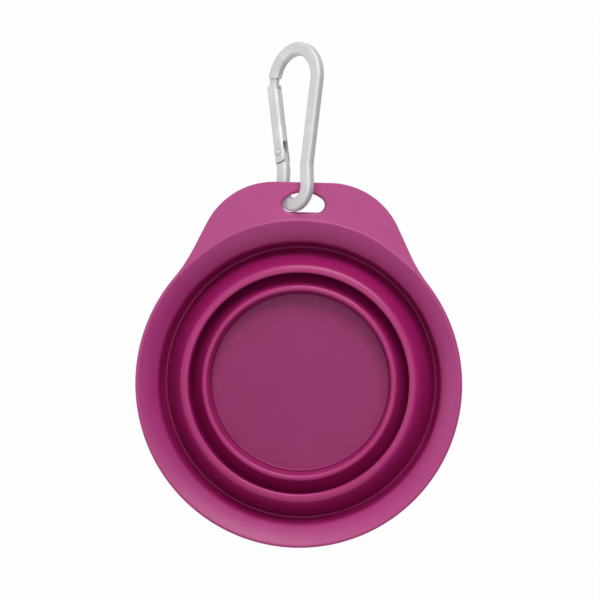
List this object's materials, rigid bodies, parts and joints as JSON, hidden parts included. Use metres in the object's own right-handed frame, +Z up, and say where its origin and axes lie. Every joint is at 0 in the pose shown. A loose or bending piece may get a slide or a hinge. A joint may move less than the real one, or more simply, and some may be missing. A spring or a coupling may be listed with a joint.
{
  "type": "collapsible bowl",
  "caption": "Round folding travel bowl with a stiff dished rim, soft pleated wall, flat base, and a hang tab whose slot holds a spring-gate snap hook.",
  "frame": {"origin": "on the bowl's axis, on the underside of its base", "axes": "+Z up along the bowl's axis towards its opening, +Y along the hang tab towards the snap hook"},
  "size_m": [0.13, 0.2013, 0.0233],
  "materials": {
    "stiff_plastic": "fine matte moulded polypropylene",
    "soft_plastic": "soft satin thermoplastic rubber",
    "hook_aluminium": "satin anodised",
    "pin_steel": "plain drawn wire and pin"
  },
  "bodies": {
    "base": {"base_plate": "stiff_plastic", "base_ring": "soft_plastic"},
    "middle": {"middle_ring": "soft_plastic", "lower_web": "soft_plastic"},
    "rim": {"rim_frame": "stiff_plastic", "rim_collar": "soft_plastic", "upper_web": "soft_plastic"},
    "carabiner": {"carabiner_body": "hook_aluminium", "gate_rivet": "hook_aluminium"},
    "gate": {"carabiner_gate": "hook_aluminium", "gate_spring": "pin_steel"},
    "plunger": {"gate_plunger": "pin_steel"}
  },
  "joints": [
    {"name": "lower_fold", "type": "slide", "parent": "base", "child": "middle", "axis": [0, 0, 1], "range_m": [0, 0.0138], "deforming": ["lower_web"]},
    {"name": "upper_fold", "type": "slide", "parent": "middle", "child": "rim", "axis": [0, 0, 1], "range_m": [0, 0.018], "deforming": ["upper_web"]},
    {"name": "carabiner_swing", "type": "hinge", "parent": "rim", "child": "carabiner", "pos_m": [-0.00323, 0.0781, 0.0158], "axis": [1, 0, 0], "range_deg": [0, 130]},
    {"name": "gate_swing", "type": "hinge", "parent": "carabiner", "child": "gate", "pos_m": [-0.00951, 0.09228, 0.00889], "axis": [0.684, -0.0519, -0.7277], "range_deg": [0, 40], "stiffness_Nm_per_rad": 0.03, "springref_deg": -20.05},
    {"name": "plunger_slide", "type": "slide", "parent": "gate", "child": "plunger", "axis": [-0.153, 0.9651, -0.2126], "range_m": [0, 0.0008], "deforming": ["gate_spring"]}
  ],
  "couplings": [
    {"joint": "plunger_slide", "follows": "gate_swing", "m_per_rad": 0.001}
  ]
}
